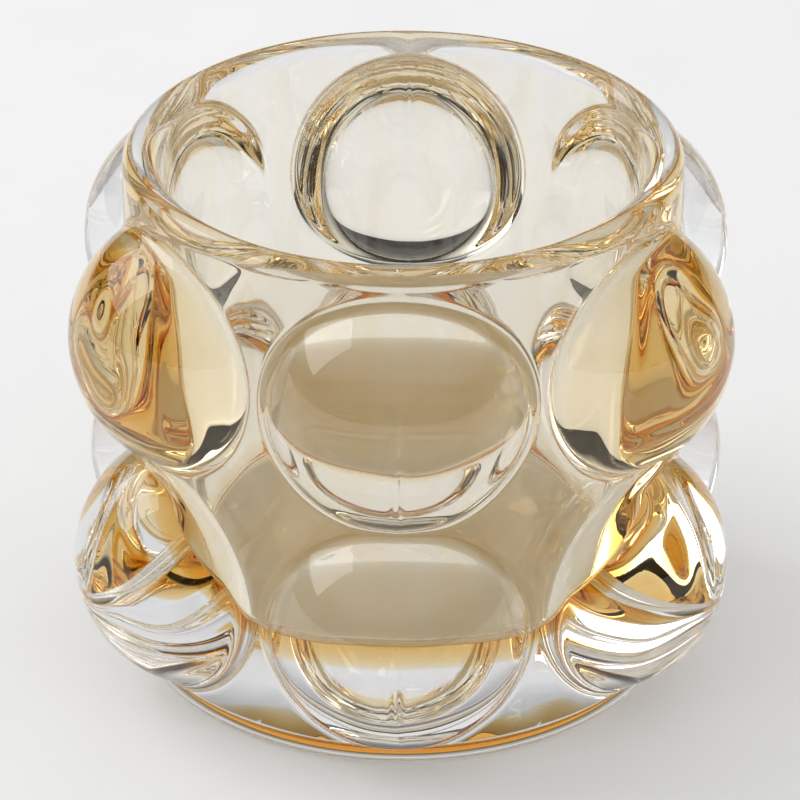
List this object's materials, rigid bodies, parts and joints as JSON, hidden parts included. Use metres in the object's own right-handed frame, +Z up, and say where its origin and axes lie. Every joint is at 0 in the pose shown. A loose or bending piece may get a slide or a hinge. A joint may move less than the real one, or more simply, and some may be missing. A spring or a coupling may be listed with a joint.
{
  "type": "tealight holder",
  "caption": "Heavy glass tealight holder: a round clear cup over an amber lining, with round lens bosses all round its wall and a flat foot.",
  "frame": {"origin": "centre of the foot's underside", "axes": "+Z up along the cup's axis; the middle of one boss of each row faces -Y"},
  "size_m": [0.0918, 0.1002, 0.0776],
  "materials": {
    "clear_glass": "fire polished, colourless",
    "amber_glass": "fire polished, amber"
  },
  "bodies": {
    "root": {"foot_disc": "clear_glass", "clear_casing": "clear_glass", "amber_lining": "amber_glass", "boss_upper_1": "clear_glass", "boss_upper_2": "clear_glass", "boss_upper_3": "clear_glass", "boss_upper_4": "clear_glass", "boss_upper_5": "clear_glass", "boss_upper_6": "clear_glass", "boss_lower_1": "clear_glass", "boss_lower_2": "clear_glass", "boss_lower_3": "clear_glass", "boss_lower_4": "clear_glass", "boss_lower_5": "clear_glass", "boss_lower_6": "clear_glass"}
  },
  "joints": []
}
